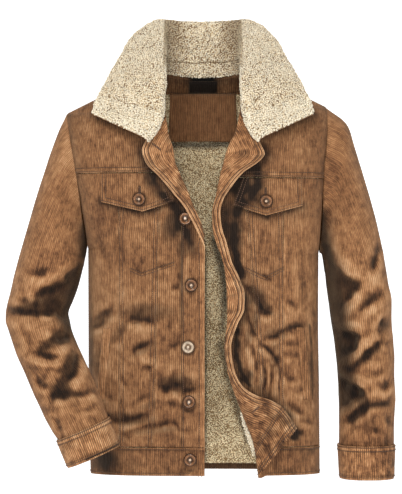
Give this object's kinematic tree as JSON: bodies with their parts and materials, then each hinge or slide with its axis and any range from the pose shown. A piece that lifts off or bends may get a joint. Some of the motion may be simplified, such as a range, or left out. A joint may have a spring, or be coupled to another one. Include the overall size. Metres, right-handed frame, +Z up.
{
  "type": "sherpa lined jacket",
  "caption": "Waist-length corduroy jacket with a sherpa lining and collar, open front, buttoned chest pocket flaps, cuffs and waistband, filled out and hollow.",
  "frame": {"origin": "the middle of the neck opening, at the height of the neck's base", "axes": "+Z up; the front faces -Y; +X towards the wearer's left"},
  "size_m": [0.664, 0.2992, 0.7895],
  "materials": {
    "corduroy": "brown corduroy, vertical wales",
    "sherpa": "cream sherpa pile",
    "patch_corduroy": "dark brown corduroy, bare",
    "horn": "glossy brown button"
  },
  "bodies": {
    "root": {"back": "corduroy", "button_1": "horn", "button_2": "horn", "button_3": "horn", "button_4": "horn", "button_5": "horn", "collar_sherpa": "sherpa", "collar_under": "corduroy", "cuff_left": "corduroy", "cuff_right": "corduroy", "facing_left": "corduroy", "facing_right": "corduroy", "flap_button_left": "horn", "flap_button_right": "horn", "front_centre_left": "corduroy", "front_centre_right": "corduroy", "front_pocket_left": "corduroy", "front_pocket_right": "corduroy", "front_side_left": "corduroy", "front_side_right": "corduroy", "front_yoke_left": "corduroy", "front_yoke_right": "corduroy", "hanger_loop": "corduroy", "lining_back": "sherpa", "lining_front_left": "sherpa", "lining_front_right": "sherpa", "neck_band": "corduroy", "neck_patch": "patch_corduroy", "placket_left": "corduroy", "placket_right": "corduroy", "pocket_flap_left": "corduroy", "pocket_flap_right": "corduroy", "pocket_welt_left": "corduroy", "pocket_welt_right": "corduroy", "sleeve_top_left": "corduroy", "sleeve_top_right": "corduroy", "sleeve_under_left": "corduroy", "sleeve_under_right": "corduroy", "waistband_back": "corduroy", "waistband_front_left": "corduroy", "waistband_front_right": "corduroy"}
  },
  "joints": []
}
